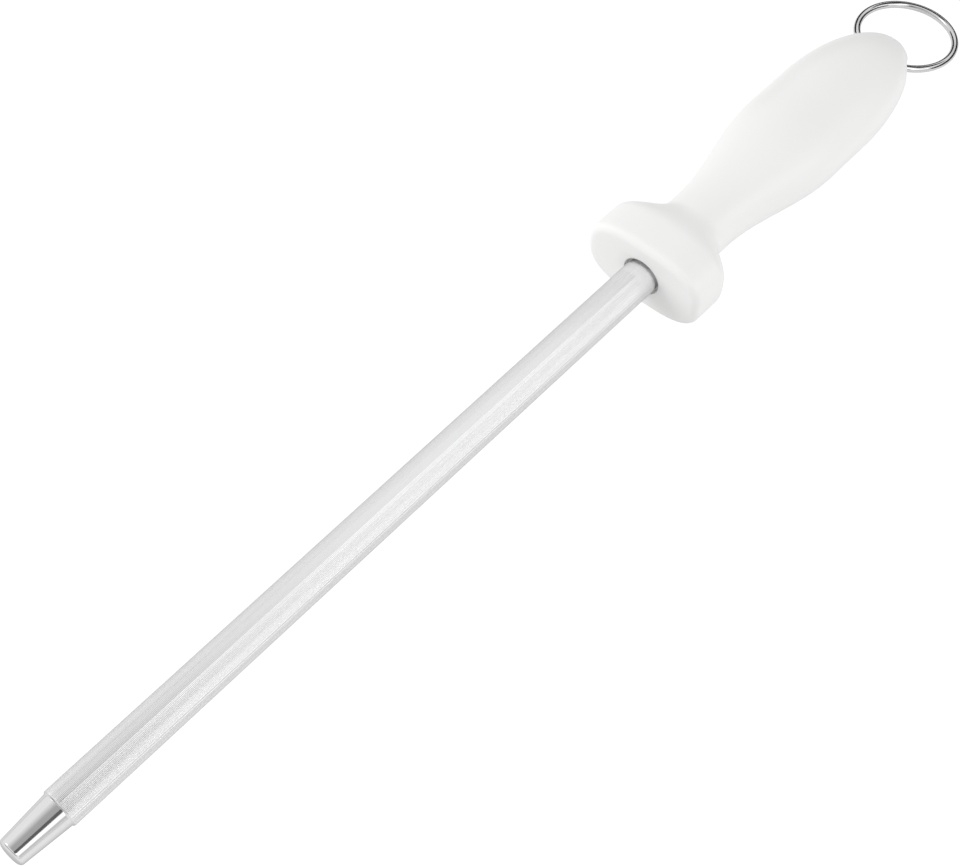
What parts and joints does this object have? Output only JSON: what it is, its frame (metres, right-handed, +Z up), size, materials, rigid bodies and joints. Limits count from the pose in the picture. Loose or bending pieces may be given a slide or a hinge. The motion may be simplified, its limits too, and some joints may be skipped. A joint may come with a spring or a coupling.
{
  "type": "knife sharpening steel",
  "caption": "Butcher's sharpening steel: fine-fluted round steel rod with a polished tapered tip, white moulded handle with an oval crossguard, and a wire hanging ring.",
  "frame": {"origin": "on the rod's axis, at the guard's flat front face", "axes": "+X along the rod to its tip, +Y across the guard's two lobes and along the ring's hole, +Z up when the steel lies flat"},
  "size_m": [0.417, 0.044, 0.028],
  "materials": {
    "rod_steel": "fine lengthwise flutes, chrome plated, with a polished tip",
    "core_plastic": "as moulded, hidden",
    "white_plastic": "satin",
    "ring_wire": "bright"
  },
  "bodies": {
    "steel": {"steel_rod": "rod_steel", "handle_core": "core_plastic", "handle_skin": "white_plastic"},
    "ring": {"hanging_ring": "ring_wire"}
  },
  "joints": [
    {"name": "ring_swing", "type": "hinge", "parent": "steel", "child": "ring", "pos_m": [-0.1295, 0, 0], "axis": [0, 1, 0], "range_deg": [-104.5, 115.5], "stiffness_Nm_per_rad": 0.008}
  ]
}
